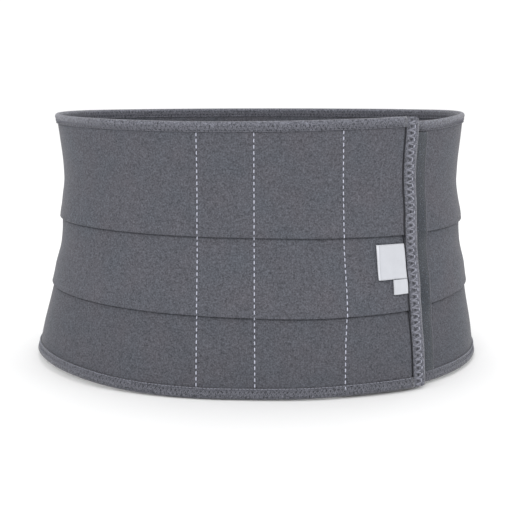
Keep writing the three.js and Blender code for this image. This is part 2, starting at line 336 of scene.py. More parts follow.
def seam_height(share, seam):
    """The height of a band's lower edge: it tilts, curls up at the sides and dips in front."""
    wrap = np.radians(angle_at(share, MIDDLE))
    across = signed_power(np.cos(wrap), 2 / OUTLINE_POWER)
    front = np.maximum(0, signed_power(-np.sin(wrap), 2 / OUTLINE_POWER))
    rise = seam["curl"] * across ** 3 - seam["tilt"] * across - seam["dip"] * front ** 2
    rise = rise + seam["right"] * np.maximum(0, across) ** 2
    rise = rise + OUTER_RISE * ease(share, OUTER_RISE_FROM, 1)
    return seam["level"] + HEIGHT * rise


def rim_height(share):
    return HEIGHT * (1 + smooth_curve(EDGES[0], EDGES[1], angle_at(share, MIDDLE)))


def hem_height(share):
    return HEIGHT * smooth_curve(EDGES[0], EDGES[2], angle_at(share, MIDDLE))


def walked(points, axis=0):
    """How far each point lies from the first one, going along one axis of a grid of points."""
    steps = np.diff(points, axis=axis, prepend=np.take(points, [0], axis=axis))
    return np.cumsum(np.linalg.norm(steps, axis=-1), axis=axis)


def arc_lengths(shares, z, offset):
    """How far along the belt each share lies, in metres."""
    return walked(on_belt(shares, z, offset))


BELT_MARKS = 721
WHOLE = np.linspace(0, 1, BELT_MARKS)
BELT_LENGTH = arc_lengths(WHOLE, MIDDLE, 0)[-1]
print("Belt between its end tapes:", round(BELT_LENGTH / MM), "mm long")

# %% [markdown]
# ## How the bands lie on each other
# The top band hangs over the middle band and the middle band over the lower one. Where a band runs
# over the next it stands out by one thickness and leans back to the body above that.

# %% Offsets of the bands


def raised(share, z, seam):
    """1 where a band lies over the next one, easing to 0 above, and just below its edge."""
    edge = seam_height(share, seam)
    above = 1 - ease(z, edge + PANEL_LAP, edge + PANEL_LAP + PANEL_RAMP)
    below = 1 - np.clip((edge - z) / (PANEL_RAMP / 2), 0, 1)
    return np.where(z < edge, below, above)


def top_face(share, z):
    return STEP * raised(share, z, UPPER_SEAM)


def middle_face(share, z):
    return STEP * raised(share, z, LOWER_SEAM)


def lower_face(share, z):
    return 0 * share * z


def over_bands(share, z):
    """The outside of whichever band lies outermost, and of the ramps below their edges."""
    most = np.maximum(raised(share, z, UPPER_SEAM), raised(share, z, LOWER_SEAM))
    return ELASTIC + STEP * most


def shown_face(share, z):
    """The outside of the band that shows at a height, with its true steps."""
    upper = seam_height(share, UPPER_SEAM)
    lower = seam_height(share, LOWER_SEAM)
    below = np.where(z < lower, lower_face(share, z), middle_face(share, z))
    return ELASTIC + np.where(z < upper, below, top_face(share, z))


print("Bands overlap by", round(PANEL_LAP / MM), "mm")

# %% [markdown]
# ## The three sewn lines
# Three dashed lines of pale thread run down the front through all the bands. Their places are read
# off as distances from the middle of the front at a few heights, and turned into shares of the belt.

# %% Where the sewn lines run
SEWN_LINES = np.array([
    # height, then how far to the right of the middle each line lies, all in mm
    (12, -49.3, -0.5, 74.8),
    (42, -49.0, -0.6, 75.0),
    (73, -48.7, -0.8, 76.3),
    (130, -48.1, -1.0, 73.2),
    (193, -47.6, -1.2, 71.3),
    (221, -47.4, -1.3, 70.5),
]).T * MM
FRONT = np.linspace(0.7, 1.02, 641)  # shares of the belt across the front
HEIGHTS = np.linspace(0, HEIGHT + 4 * MM, 117)  # every 2 mm, to just above the rim


def line_shares(line):
    """The share of the belt at which a sewn line lies, height by height."""
    shares = []
    for height in HEIGHTS:
        x = smooth_curve(SEWN_LINES[0], SEWN_LINES[line], height)
        face = on_belt(FRONT, height, shown_face(FRONT, height))
        shares.append(np.interp(x, face[:, 0], FRONT))
    return np.array(shares)


LINES = [line_shares(line) for line in (1, 2, 3)]
print("Sewn lines at shares", [round(float(line.mean()), 3) for line in LINES])

# %% [markdown]
# ## Making a sheet
# A sheet of cloth is two faces and the thin edge between them. The helper below takes the points of
# both faces, column by column, and each point's place on the flat cloth, which becomes the UV map
# that the weave follows. Edges are rounded by letting the thickness run out over the last
# millimetre.

# %% Sheet helpers
THINNEST = 0.05 * MM
THIRDS = (0.33, 0.66)  # shares of the belt between the under end and the front
NEAR_EDGE = np.array([0, 0.08, 0.3, 0.65, 1.0])  # rows close to an edge, as shares of its radius
NEAR_TAPE = np.arange(3.6, 10.0, 0.4) * MM  # columns close to the end tape, from the band's end


def smooth_object(name, mesh):
    """A shown object that shades smoothly."""
    mesh.polygons.foreach_set("use_smooth", [True] * len(mesh.polygons))
    piece = bpy.data.objects.new(name, mesh)
    bpy.context.collection.objects.link(piece)
    return piece


def sheet_object(name, outer, inner, flat):
    """A closed mesh from two grids of points, of which outer faces away from the wearer."""
    wide, tall = outer.shape[:2]
    number = np.arange(wide * tall).reshape(wide, tall)
    back = number + wide * tall

    def quads(a, b, c, d):
        return np.stack([a, b, c, d], axis=-1).reshape(-1, 4)

    faces = np.concatenate([
        quads(number[:-1, :-1], number[1:, :-1], number[1:, 1:], number[:-1, 1:]),
        quads(back[:-1, :-1], back[:-1, 1:], back[1:, 1:], back[1:, :-1]),
        quads(back[:-1, 0], back[1:, 0], number[1:, 0], number[:-1, 0]),
        quads(number[:-1, -1], number[1:, -1], back[1:, -1], back[:-1, -1]),
        quads(back[0, :-1], number[0, :-1], number[0, 1:], back[0, 1:]),
        quads(number[-1, :-1], back[-1, :-1], back[-1, 1:], number[-1, 1:]),
    ])
    points = np.concatenate([outer.reshape(-1, 3), inner.reshape(-1, 3)])
    mesh = bpy.data.meshes.new(name)
    mesh.from_pydata(points.tolist(), [], faces.tolist())
    places = np.concatenate([flat.reshape(-1, 2)] * 2)
    uv = mesh.uv_layers.new(name="flat_cloth")
    uv.data.foreach_set("uv", places[faces.reshape(-1)].reshape(-1))
    return smooth_object(name, mesh)


def dress(piece, node, flat):
    """Puts a sheet in its solid's place; the cut size given to it is not used."""
    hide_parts(node)
    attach(piece, "root")
    return piece


def unit(vectors):
    return vectors / np.linalg.norm(vectors, axis=-1, keepdims=True)


def rounding(distance, radius):
    """Share of the full thickness at a distance from a rounded edge."""
    return np.sqrt(np.clip(1 - (1 - np.clip(distance / radius, 0, 1)) ** 2, 0, 1))


def rows(low, high, count, radius, below_top=()):
    """Heights from low to high for each column, closer together near both edges.

    below_top asks for more rows at these distances below the top."""
    low, high = low[..., None], high[..., None]
    shares = np.linspace(0, 1, count)[1:-1]
    middle = (low + radius) + shares * (high - low - 2 * radius)
    closer = high - np.array(below_top)
    return np.sort(np.concatenate(
        [low + NEAR_EDGE * radius, middle, closer, high - NEAR_EDGE[::-1] * radius], axis=-1))


def column_stops(first, last):
    """Shares that the columns of a band keep to: its ends, the thirds and the sewn lines."""
    return [first, *THIRDS, *[float(line.mean()) for line in LINES], last]


def column_marks(first, last, spacing):
    """Marks for the columns of a band: whole numbers stand for its stops."""
    stops = column_stops(first, last)
    pieces = []
    for k in range(len(stops) - 1):
        count = max(2, round((stops[k + 1] - stops[k]) * BELT_LENGTH / spacing))
        pieces.append(k + np.linspace(0, 1, count, endpoint=False))
    beside_tape = k + 1 - NEAR_TAPE / BELT_LENGTH / (last - stops[-2])
    return np.unique(np.concatenate([*pieces, beside_tape]))


def follow_lines(marks, z, first, last):
    """Turns the marks of columns into shares at each height, so that they follow the lines."""
    ones = np.ones_like(z)
    straight = [share * ones for share in (first, *THIRDS)]
    at_lines = [np.interp(z, HEIGHTS, line) for line in LINES]
    stops = np.stack([*straight, *at_lines, last * ones])
    k = np.minimum(marks.astype(int), len(stops) - 2)[:, None] + np.zeros(z.shape, int)
    low = np.take_along_axis(stops, k[None], axis=0)[0]
    high = np.take_along_axis(stops, k[None] + 1, axis=0)[0]
    return low + (marks[:, None] - k) * (high - low)


print("Sheets are at least", round(2 * THINNEST / MM, 2), "mm thick at their edges")

# %% [markdown]
# ## The three elastic bands
# Each band is a thick soft elastic. Its lower edge is turned in and sewn down, so the edge is a
# small roll with a pressed line of stitches above it. The pale sewn lines press a shallow groove
# into all three.

# %% Relief of the elastic
ROLL_HEIGHT = 0.25 * MM
ROLL_AT = 1.6 * MM
ROLL_SPREAD = 1.4 * MM
PRESSED = 0.22 * MM
PRESSED_AT = 4.4 * MM
PRESSED_SPREAD = 0.9 * MM
GROOVE = 0.3 * MM
GROOVE_SPREAD = 2.2 * MM
WAVE = 0.35 * MM
WAVE_TURNS = (41, 17)  # radians along the belt
WAVE_START = 1.3  # radians
WAVE_LEAN = 2.1  # radians
WAVE_RISE = 19  # radians a metre up
WAIST_BULGE = 0.5 * MM
UNDER_EDGE_DIP = 0.8 * MM
UNDER_EDGE_AT = 0.4 * MM
UNDER_EDGE_SPREAD = 0.8 * MM
TAPE_GROOVE = 1.1 * MM
TAPE_GROOVE_AT = -0.8 * MM  # from the end tape's edge, so a little under the tape
TAPE_GROOVE_SPREAD = 0.7 * MM


def edge_relief(above_edge):
    """The turned-in roll at a band's lower edge, and the line that its stitches press."""
    return (ROLL_HEIGHT * bump(above_edge - ROLL_AT, ROLL_SPREAD)
            - PRESSED * bump(above_edge - PRESSED_AT, PRESSED_SPREAD))


def groove(share, z):
    """How much the three sewn lines press the cloth together."""
    depth = 0
    for line in LINES:
        away = (share - np.interp(z, HEIGHTS, line)) * BELT_LENGTH
        depth = depth + GROOVE * bump(away, GROOVE_SPREAD)
    return depth


def wave(share, z):
    """The belt stands a little unevenly, as soft cloth does."""
    lean = WAVE_LEAN * np.sin(z * WAVE_RISE)
    short, long = WAVE_TURNS
    ripple = -np.sin(share * short + lean) * np.sin(share * long + WAVE_START)
    between_edges = np.sin(np.pi * np.clip(z / HEIGHT, 0, 1)) ** 0.5
    side = WAIST_BULGE * bump(share - SIDE_BULGE_SHARE, SIDE_BULGE_SPREAD)
    return (WAVE * ripple + side) * between_edges


def tape_groove(share, z):
    """The seam of the outer end's tape pulls the cloth beside it down."""
    away = (1 - share) * BELT_LENGTH
    return TAPE_GROOVE * bump(away - TAPE_GROOVE_AT, TAPE_GROOVE_SPREAD)


print("Edge roll:", round(ROLL_HEIGHT / MM, 2), "mm proud")

# %% Make the bands
COLUMN_SPACING = 2.6 * MM
ROW_SPACING = 2.6 * MM
INTO_TAPE = (HOLD - CORNER_RADIUS) / BELT_LENGTH
EDGE_RADIUS = ELASTIC / 2
UNDER_EDGE_ROWS = PANEL_LAP + np.arange(-1.2, 2.4, 0.4) * MM  # close to the edge that lies over it


def band(name, face, low, high, node, edge_above=None):
    """One elastic band, from its lower edge to its upper one, under the edge of the next."""
    first, last = -INTO_TAPE, 1 + INTO_TAPE
    marks = column_marks(first, last, COLUMN_SPACING)
    stops = column_stops(first, last)
    upright = np.interp(marks, np.arange(len(stops)), stops)
    count = round(float(np.mean(high(upright) - low(upright))) / ROW_SPACING)

    def heights(low_share, high_share):
        closer = UNDER_EDGE_ROWS if edge_above else ()
        return rows(low(low_share), high(high_share), count, EDGE_RADIUS, closer)

    share = follow_lines(marks, heights(upright, upright), first, last)
    z = heights(share[:, 0], share[:, -1])
    edge = z - z[:, :1]
    thin = rounding(np.minimum(edge, z[:, -1:] - z), EDGE_RADIUS)
    half = np.maximum(ELASTIC / 2 * thin, THINNEST)
    middle = face(share, z) + ELASTIC / 2 + wave(share, z)
    relief = edge_relief(edge) - groove(share, z) - tape_groove(share, z)
    if edge_above:
        below = edge_above(share) - z
        relief = relief - UNDER_EDGE_DIP * bump(below - UNDER_EDGE_AT, UNDER_EDGE_SPREAD)
    outer = on_belt(share, z, middle + half + relief * thin)
    inner = on_belt(share, z, middle - half + groove(share, z) / 2 * thin)
    flat = np.stack([share * BELT_LENGTH, z], axis=-1)
    piece = sheet_object(name, outer, inner, flat)
    print(name, len(piece.data.polygons), "faces")
    cut = (float(np.mean(z[:, -1] - z[:, 0])), BELT_LENGTH)
    return dress(piece, node, cut)


def upper_edge(share):
    return seam_height(share, UPPER_SEAM)


def lower_edge(share):
    return seam_height(share, LOWER_SEAM)


top_band = band(
    "top_band", top_face, upper_edge, lambda share: rim_height(share) - LEG, "top_panel")
middle_band = band(
    "middle_band", middle_face, lower_edge, lambda share: upper_edge(share) + PANEL_LAP,
    "middle_panel", upper_edge)
lower_band = band(
    "lower_band", lower_face, lambda share: hem_height(share) + LEG,
    lambda share: lower_edge(share) + PANEL_LAP, "lower_panel", lower_edge)

# %% [markdown]
# ## The folded tapes
# A narrow woven tape is folded in half over each edge of the belt and sewn through with a zigzag.
# Its section is a hairpin: two legs and a round fold. The zigzag presses the legs down and leaves
# the fold plump.

# %% Section of a folded tape
FOLD_STEPS = 10
LEG_STEPS = 9
TAPE_EDGE = 0.45 * MM
NEAR_LEG_END = np.array([0.0, 0.12, 0.4, 1.0])  # stations there, as shares of TAPE_EDGE
LEG_END_GAP = 0.02  # of the leg, kept clear before them
END_LEG = 12.0 * MM
PLUMP = 0.28 * MM
PLUMP_AT = 1.1  # from the fold, in halves of the folded tape's thickness
PLUMP_SPREAD = 1.6 * MM
DENT_SHARE = 0.6  # of the plumpness
DENT_AT = 2.4  # from the fold, as above
DENT_SPREAD = 1.8 * MM
LEG_PRESS = 0.9 * MM
PRESS_FROM = 1.5  # from the fold, as above


def hairpin(length):
    """Angles round the fold, and stations along a leg as shares of its way in."""
    turn = np.linspace(0, np.pi, FOLD_STEPS + 1)[1:-1]
    leg = np.linspace(0, 1, LEG_STEPS)
    near_end = 1 - NEAR_LEG_END * TAPE_EDGE / length
    ways = np.concatenate([leg[leg < near_end[-1] - LEG_END_GAP], near_end[::-1]])
    return turn, ways


def folded(length, outside, inside, wall):
    """Offsets and ways in along the outer and the inner face of a folded tape.

    outside and inside are the offsets of its two legs, for each column."""
    turn, ways = hairpin(length)
    middle = (outside + inside)[:, None] / 2
    half = (outside - inside)[:, None] / 2
    straight = (length - half) * ways + half
    thin = rounding(length - straight, TAPE_EDGE)
    pillow = PLUMP * (bump(straight - half * PLUMP_AT, PLUMP_SPREAD)
                      - DENT_SHARE * bump(straight - half * DENT_AT, DENT_SPREAD))
    pillow = pillow - LEG_PRESS * ease(straight, half * PRESS_FROM, length)
    small = half - wall
    taper = wall * (1 - thin) / 2
    out = np.concatenate([
        (middle + half + pillow - taper)[:, ::-1], middle + half * np.cos(turn),
        middle - half - pillow + taper], axis=1)
    way = np.concatenate([straight[:, ::-1], half - half * np.sin(turn), straight], axis=1)
    back_out = np.concatenate([
        (middle + small + taper)[:, ::-1], middle + small * np.cos(turn),
        middle - small - taper], axis=1)
    back_way = np.concatenate([straight[:, ::-1], half - small * np.sin(turn), straight], axis=1)
    return out, way, back_out, back_way


round_fold, along_leg = hairpin(RIM_TAPE)
print("Stations along a fold:", len(round_fold) + 2 * len(along_leg))

# %% Make the tapes along the rim and the hem


def long_tape(name, edge, inwards, length, node):
    """Tape folded over the rim or the hem."""
    to_end_tape = (HOLD - END_LEG - 2 * THINNEST) / BELT_LENGTH
    share = np.linspace(-to_end_tape, 1 + to_end_tape, round(BELT_LENGTH / COLUMN_SPACING))
    ones = np.ones_like(share)
    out, way, back_out, back_way = folded(
        length, (ELASTIC + LEG) * ones, -LEG * ones, TAPE)
    if inwards > 0:
        out, way, back_out, back_way = (part[:, ::-1] for part in (out, way, back_out, back_way))
    column = share[:, None]
    z = edge(column) + inwards * way
    outer = on_belt(column, z, out)
    inner = on_belt(column, edge(column) + inwards * back_way, back_out)
    along = arc_lengths(share, edge(share), ELASTIC)
    across = walked(outer, axis=1)
    flat = np.stack([along[:, None] + 0 * z, across], axis=-1)
    piece = sheet_object(name, outer, inner, flat)
    print(name, len(piece.data.polygons), "faces, cut", round(float(along[-1]), 3), "m long")
    cut = (float(across[:, -1].mean()), float(along[-1]))
    return dress(piece, node, cut)


top_tape = long_tape("top_tape", rim_height, -1, RIM_TAPE, "top_binding")
hem_tape = long_tape("hem_tape", hem_height, 1, HEM_TAPE, "hem_binding")

# %% Make the tapes over the two ends
END_ROWS = 90


def end_tape(name, from_end, outer_first, node):
    """Tape folded over an end of the belt and closed over both its corners."""
    at_end = np.array([1.0 if outer_first else 0.0])
    low, high = hem_height(at_end), rim_height(at_end)
    z = rows(low, high, END_ROWS, CORNER_RADIUS)[0]
    to_edge = np.minimum(z - low, high - z)
    inset = CORNER_RADIUS * (1 - rounding(to_edge, CORNER_RADIUS))
    share = from_end(END_TAPE / 2, z)
    outside = over_bands(share, z) + LEG
    inside = -LEG + 0 * z
    closing = rounding(to_edge, (outside - inside) / 2)
    middle, half = (outside + inside) / 2, (outside - inside) / 2
    half_open = np.maximum(half * closing, 2 * THINNEST)
    out, way, back_out, back_way = folded(
        END_LEG, middle + half_open, middle - half_open,
        np.minimum(TAPE, half_open - THINNEST)[:, None])
    grids = [part.T for part in (out, way, back_out, back_way)]
    if not outer_first:
        grids = [part[::-1] for part in grids]
    out, way, back_out, back_way = grids
    outer = on_belt(from_end(np.maximum(way, inset), z), z, out)
    inner = on_belt(from_end(np.maximum(back_way, inset + TAPE), z), z, back_out)
    across = walked(outer)
    flat = np.stack([z + 0 * across, across], axis=-1)
    piece = sheet_object(name, outer, inner, flat)
    width = float(across[-1].mean())
    print(name, len(piece.data.polygons), "faces, cut", round(width / MM, 1), "mm wide")
    return dress(
        piece, node, (width, HEIGHT))


def from_outer(distance, z):
    """The share at a distance in from the outer end."""
    return share_at(further(outer_end(z), z, -distance), z)


def from_under(distance, z):
    """The share at a distance in from the under end."""
    return share_at(further(UNDER_END + 0 * z, z, distance), z)


outer_end_tape = end_tape("outer_end_tape", from_outer, True, "outer_end_binding")
inner_end_tape = end_tape("inner_end_tape", from_under, False, "inner_end_binding")

# %% [markdown]
# ## The closure
# The under layer carries a wide strip of soft loops, and a narrow part of it shows beside the outer
# end. The hook strip is sewn inside the outer end and is hidden. Both lie on the stepped bands, so
# they follow the same offsets.

# %% Make the loop and hook strips
STRIP_COLUMNS = 34
HOOK_COLUMNS = 22
STRIP_ROWS = 88
PILE_EDGE = 0.9 * MM
PILE_EDGE_SHARE = 0.25  # of the thickness, left at the very edge


def strip(name, first, last, columns, faces, node):
    """A strip on the belt between two angles that depend on height."""
    shares = np.linspace(0, 1, columns)
    centre = np.atleast_1d(share_at((first(MIDDLE) + last(MIDDLE)) / 2, MIDDLE))
    low = hem_height(centre) + HEM_TAPE + CLEARANCE
    high = rim_height(centre) - RIM_TAPE - CLEARANCE
    z = rows(low, high, STRIP_ROWS, PILE_EDGE)
    angle = first(z) + shares[:, None] * (last(z) - first(z))
    share = share_at(angle, z)
    degree = outline(first(MIDDLE) + 1, MIDDLE, 0) - outline(first(MIDDLE), MIDDLE, 0)
    width = (last(MIDDLE) - first(MIDDLE)) * float(np.linalg.norm(degree))
    to_side = np.minimum(shares, 1 - shares)[:, None] * width
    thin = rounding(np.minimum(to_side, np.minimum(z - low, high - z)), PILE_EDGE)
    inner_offset, outer_offset = faces(share, z)
    plump = PILE_EDGE_SHARE + (1 - PILE_EDGE_SHARE) * thin
    thick = np.maximum((outer_offset - inner_offset) * plump, 2 * THINNEST)
    z = z + 0 * share
    outer = on_belt(share, z, inner_offset + thick)
    across = walked(outer)
    flat = np.stack([width - (across[-1] - across), z], axis=-1)
    inner = on_belt(share, z, inner_offset)
    piece = sheet_object(name, outer, inner, flat)
    print(name, round(width / MM, 1), "mm wide")
    return dress(piece, node, (width, float((high - low)[0])))


def loop_faces(share, z):
    """Offsets of the loop strip: level under the lap, and thinned down to the bands beside it."""
    inner = over_bands(share, z) + CLEARANCE
    angle = angle_at(share, z)
    edge = outer_end(z) - 360
    thinned = np.clip((angle - edge) / (further(edge, z, LOOP_SHOWN) - edge), 0, 1)
    full = DOUBLED + CLEARANCE + LOOP_PILE
    return inner, full + thinned * (inner + LOOP_PILE - full)


def hook_faces(share, z):
    return -CLEARANCE - HOOK_THICKNESS + 0 * share * z, -CLEARANCE + 0 * share * z


loop_pile = strip(
    "loop_pile", lambda z: further(UNDER_END + 0 * z, z, HOLD),
    lambda z: further(outer_end(z) - 360, z, LOOP_SHOWN),
    STRIP_COLUMNS, loop_faces, "loop_strip")
hook_tape = strip(
    "hook_tape", lambda z: further(outer_end(z), z, -HOLD - HOOK_WIDTH),
    lambda z: further(outer_end(z), z, -HOLD),
    HOOK_COLUMNS, hook_faces, "hook_strip")

# %% [markdown]
# ## The labels
# Two white woven labels are caught under the end tape on the middle band. Each is a strip folded
# double, so its free edge is a soft roll that catches the light. They are left bare.

# %% Make the labels
LABEL_WIDTH = 23 * MM
LABEL_HEIGHT = 29 * MM
LABEL_DROP = 7.2 * MM  # below the top band's edge
LABEL_RISE = 0.16 * MM  # how much more its fold stands up half way along
TAG_WIDTH = 11.2 * MM
TAG_HEIGHT = 12 * MM
TAG_RISE = 0.06 * MM
LABEL_CLOTH = 0.22 * MM
LABEL_ROLL = 0.75 * MM
LABEL_PRESSED = 1.2  # thicknesses of cloth, half the height where the label is pressed flat
LABEL_ROLLED = 2.4 * MM  # from the fold, where the roll begins to close
LABEL_CLOSED = 9 * MM
LABEL_GAP = 0.25 * MM  # above the middle band
LABEL_SHORT = 0.5 * MM  # between the label's ends and the end tape
LABEL_COLUMNS = 26
LABEL_CROWDING = 1.3  # more than 1 crowds the columns towards the fold
LABEL_ROWS = 24
LABEL_FOLD_STEPS = 8


def label(name, width, height, drop, rise, node):
    """A folded label on the middle band, its fold to the left and its ends under the tape."""
    turn = np.linspace(0, np.pi, LABEL_FOLD_STEPS + 1)[1:-1, None]
    up = np.linspace(0, 1, LABEL_ROWS)[None]
    seam = float(upper_edge(np.array(1.0)))
    z = seam - drop - height + up * height
    reach = np.linspace(0, 1, LABEL_COLUMNS)[:, None] ** LABEL_CROWDING * width + 0 * z
    rolled = LABEL_CLOTH / 2 + LABEL_ROLL + rise * np.sin(np.pi * up) ** 2
    closing = ease(reach, LABEL_ROLLED, LABEL_CLOSED)
    upper = 2 * rolled + (LABEL_PRESSED * LABEL_CLOTH - rolled) * closing
    lower = np.full_like(upper, LABEL_CLOTH / 2)
    fold_out = (upper[:1] + lower[:1]) / 2
    fold_half = (upper[:1] - lower[:1]) / 2
    out = np.concatenate([lower[::-1], fold_out - fold_half * np.cos(turn), upper])
    way = np.concatenate([reach[::-1], -fold_half * np.sin(turn), reach])
    base = from_outer(HOLD + LABEL_SHORT, z)
    share = base - (width - way) / BELT_LENGTH
    offset = middle_face(share, z) + ELASTIC + LABEL_GAP + out - tape_groove(share, z)
    grid_z = z + 0 * share
    skin = on_belt(share, grid_z, offset)
    across = walked(skin)
    flat = np.stack([across, grid_z], axis=-1)
    normal = unit(np.cross(np.gradient(skin, axis=0), np.gradient(skin, axis=1)))
    wall = normal * LABEL_CLOTH / 2
    piece = sheet_object(name, skin + wall, skin - wall, flat)
    print(name, round(width / MM, 1), "by", round(height / MM, 1), "mm")
    cut = (float(across[-1].mean()), height)
    return dress(piece, node, cut)


side_label = label(
    "white_label", LABEL_WIDTH, LABEL_HEIGHT, LABEL_DROP, LABEL_RISE, "side_label")
size_tag = label(
    "small_label", TAG_WIDTH, TAG_HEIGHT, LABEL_DROP + LABEL_HEIGHT + CLEARANCE, TAG_RISE,
    "size_tag")

# %% [markdown]
# ## Threads
# A stitch is a short bent length of thread: it comes up out of the cloth, lies on it and goes down
# again. One small tube is laid out for each stitch, and the stitches of a seam are one mesh.

# %% Thread helper
STITCH_STATIONS = np.array([0.0, 0.16, 0.5, 0.84, 1.0])
STITCH_RISE = np.array([-1.0, 0.45, 0.75, 0.45, -1.0])  # in thread radii
STITCH_GIRTH = np.array([0.55, 1.0, 1.0, 1.0, 0.55])  # in thread radii
THREAD_SIDES = 6


def stitches(name, start, end, face, radius, slot="binding_tape", side=1):
    """A mesh of stitches from start to end, rows of share and height, on one face of the cloth."""
    t = STITCH_STATIONS[:, None]
    share = start[None, :, 0] + (end - start)[None, :, 0] * t
    z = start[None, :, 1] + (end - start)[None, :, 1] * t
    offset = face(share, z) + side * radius * STITCH_RISE[:, None]
    path = on_belt(share, z, offset)
    up = unit(on_belt(share, z, offset + side * MM) - path)
    along = unit(np.gradient(path, axis=0))
    beside = unit(np.cross(along, up))
    girth = radius * STITCH_GIRTH[:, None, None]
    turn = np.arange(THREAD_SIDES) * 2 * np.pi / THREAD_SIDES
    rings = np.stack([
        path + girth * (np.cos(a) * beside + np.sin(a) * np.cross(beside, along)) for a in turn
    ], axis=2)
    points = rings.transpose(1, 0, 2, 3)
    count, stations, sides = points.shape[:3]
    number = np.arange(count * stations * sides).reshape(count, stations, sides)
    turned = np.roll(number, -1, axis=2)
    walls = np.stack(
        [number[:, :-1], turned[:, :-1], turned[:, 1:], number[:, 1:]], axis=-1).reshape(-1, 4)
    faces = walls.tolist() + number[:, 0, ::-1].tolist() + number[:, -1].tolist()
    mesh = bpy.data.meshes.new(name)
    mesh.from_pydata(points.reshape(-1, 3).tolist(), [], faces)
    piece = smooth_object(name, mesh)
    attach(piece, "root")
    print(name, count, "stitches")
    return piece


# %% Sew the three pale lines
DASH_PITCH = 5.0 * MM
DASH_LENGTH = 3.1 * MM
DASH_RADIUS = 0.5 * MM
DASH_TOP = RIM_TAPE + 0.2 * MM  # below the rim
DASH_BOTTOM = HEM_TAPE - 3.0 * MM


def sewn_face(share, z):
    """The outside that the pale lines lie on: the grooved bands, or the hem tape."""
    cloth = shown_face(share, z) - GROOVE + wave(share, z)
    return np.where(z < HEM_TAPE, ELASTIC + LEG - LEG_PRESS, cloth)


def inside_face(share, z):
    """The inside of the belt, whichever band lies innermost."""
    lower_two = np.where(z > lower_edge(share) + PANEL_LAP, middle_face(share, z), 0)
    innermost = np.where(z > upper_edge(share) + PANEL_LAP, top_face(share, z), lower_two)
    return innermost + wave(share, z) + GROOVE / 2


def dashes(bottom):
    """Ends of the dashes of all three lines."""
    starts, ends = [], []
    for line in LINES:
        top = rim_height(line[-1:])[0] - DASH_TOP
        for high in np.arange(top, bottom + DASH_LENGTH / 2, -DASH_PITCH):
            low = high - DASH_LENGTH
            starts.append((np.interp(low, HEIGHTS, line), low))
            ends.append((np.interp(high, HEIGHTS, line), high))
    return np.array(starts), np.array(ends)


pale_lines = stitches("pale_stitches", *dashes(DASH_BOTTOM), sewn_face, DASH_RADIUS)
pale_lines_inside = stitches(
    "pale_stitches_inside", *dashes(DASH_BOTTOM + DASH_PITCH), inside_face, DASH_RADIUS, side=-1)

# %% Sew the zigzags of the tapes
ZIGZAG_PITCH = 3.6 * MM
ZIGZAG_RADIUS = 0.3 * MM
ZIGZAG_NEAR = 3.6 * MM  # from the folded edge
ZIGZAG_FAR = 7.2 * MM


def zigzag_along(edge, inwards):
    """Starts and ends of a zigzag that follows the rim or the hem."""
    along = arc_lengths(WHOLE, edge(WHOLE), ELASTIC)
    count = int(along[-1] / (ZIGZAG_PITCH / 2))
    share = np.interp(np.arange(count + 1) * ZIGZAG_PITCH / 2, along, WHOLE)
    way = np.where(np.arange(count + 1) % 2, ZIGZAG_NEAR, ZIGZAG_FAR)
    corners = np.stack([share, edge(share) + inwards * way], axis=-1)
    return corners[:-1], corners[1:]


def tape_outside(share, z):
    """The outside of the tape along the rim or the hem, half way down its pressed leg."""
    return ELASTIC + LEG - LEG_PRESS / 2 + 0 * share * z


def tape_inside(share, z):
    return -LEG + LEG_PRESS / 2 + 0 * share * z


top_zigzag = stitches(
    "top_zigzag", *zigzag_along(rim_height, -1), tape_outside, ZIGZAG_RADIUS)
top_zigzag_inside = stitches(
    "top_zigzag_inside", *zigzag_along(rim_height, -1), tape_inside, ZIGZAG_RADIUS, side=-1)
hem_zigzag = stitches(
    "hem_zigzag", *zigzag_along(hem_height, 1), tape_outside, ZIGZAG_RADIUS)
hem_zigzag_inside = stitches(
    "hem_zigzag_inside", *zigzag_along(hem_height, 1), tape_inside, ZIGZAG_RADIUS, side=-1)

# %% [markdown]
# ## Threads of the end tapes and the edges
# Thick thread runs down the end tapes in wide Vs, which a ridge of short upright stitches joins. The
# edges of the tapes, the bands and the loop strip are sewn down with small straight stitches.

# %% Sew the end tapes
END_PITCH = 5.5 * MM
END_NEAR = 4.9 * MM
END_FAR = 10.3 * MM
END_HALF = 0.25  # half the height of each V, as a share of the pitch
END_HOLLOW = 7.2 * MM
END_START = 5 * MM
END_STOP = 3.5 * MM  # below HEIGHT
END_THREAD = 0.55 * MM
RIDGE_AT = END_NEAR - 0.2 * MM
UNEVEN = 0.3 * MM
hand = np.random.default_rng(5)


def end_corners(from_end, way, heights):
    """Corners of a seam on an end tape, a little uneven."""
    heights = heights + hand.normal(0, UNEVEN, len(heights))
    way = way + hand.normal(0, UNEVEN, len(heights))
    return np.stack([from_end(way, heights), heights], axis=-1)


def end_zigzag(from_end):
    """A V for each turn, pointing away from the folded edge."""
    turns = np.arange(END_START, HEIGHT - END_STOP, END_PITCH)
    low = end_corners(from_end, END_NEAR, turns - END_HALF * END_PITCH)
    tip = end_corners(from_end, END_FAR, turns)
    high = end_corners(from_end, END_NEAR, turns + END_HALF * END_PITCH)
    return np.concatenate([low, tip]), np.concatenate([tip, high])


def end_outside(share, z):
    return over_bands(share, z) + LEG - LEG_PRESS / 2


def end_ridge(from_end):
    """Short upright stitches that join the Vs."""
    turns = np.arange(END_START, HEIGHT - END_STOP - END_PITCH, END_PITCH)
    low = end_corners(from_end, RIDGE_AT, turns + END_HALF * END_PITCH)
    high = end_corners(from_end, RIDGE_AT, turns + (1 - END_HALF) * END_PITCH)
    return low, high


outer_zigzag = stitches(
    "outer_end_zigzag", *end_zigzag(from_outer), end_outside, END_THREAD)
outer_ridge = stitches("outer_end_ridge", *end_ridge(from_outer), end_outside, END_THREAD)
inner_zigzag = stitches(
    "inner_end_zigzag", *end_zigzag(from_under), tape_inside, END_THREAD, side=-1)

